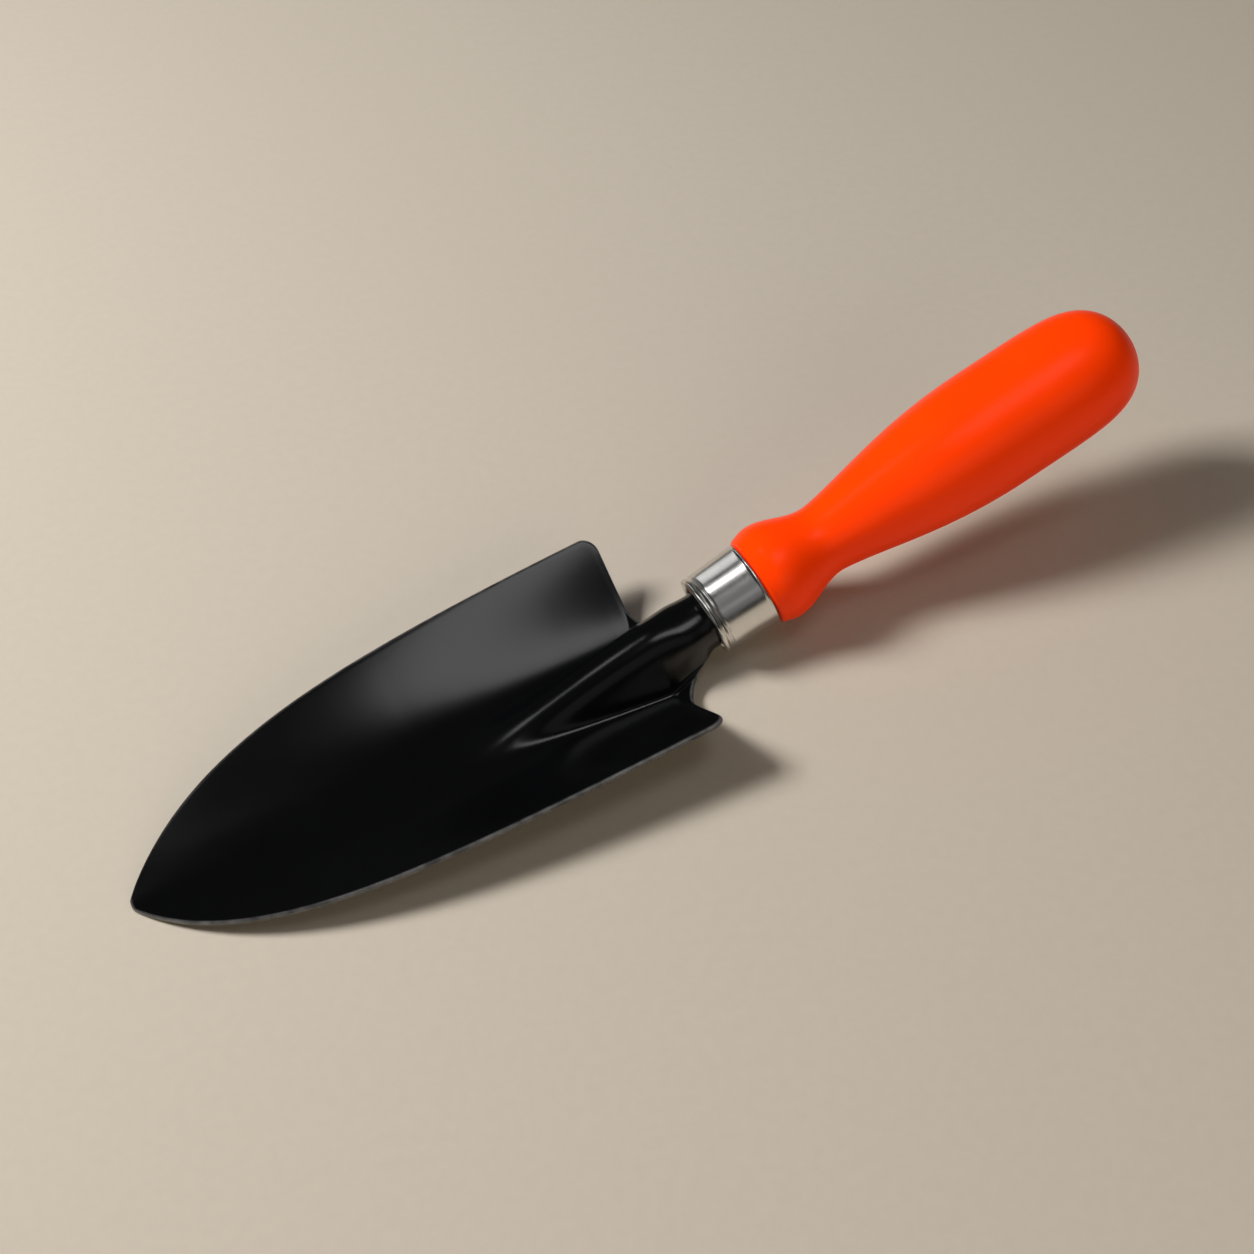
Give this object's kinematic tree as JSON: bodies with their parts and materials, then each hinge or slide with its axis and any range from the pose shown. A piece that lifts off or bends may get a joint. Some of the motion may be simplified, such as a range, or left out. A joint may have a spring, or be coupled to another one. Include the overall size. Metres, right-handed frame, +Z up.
{
  "type": "hand trowel",
  "caption": "Garden hand trowel: cupped, pointed black sheet-steel blade with a pressed rib, bright metal ferrule and a turned orange wooden handle",
  "frame": {"origin": "centre of the bounding box in X and Y, on the ground that the blade rests on", "axes": "+X from the blade's tip towards the handle's end, +Y to the left of someone who looks along +X, +Z up, out of the cupped side of the blade"},
  "size_m": [0.3136, 0.0818, 0.0618],
  "materials": {
    "blade_steel": "satin",
    "ferrule_metal": "polished",
    "painted_wood": "gloss",
    "brad_steel": "satin"
  },
  "bodies": {
    "root": {"blade": "blade_steel", "ferrule": "ferrule_metal", "handle": "painted_wood", "ferrule_brad": "brad_steel"}
  },
  "joints": []
}
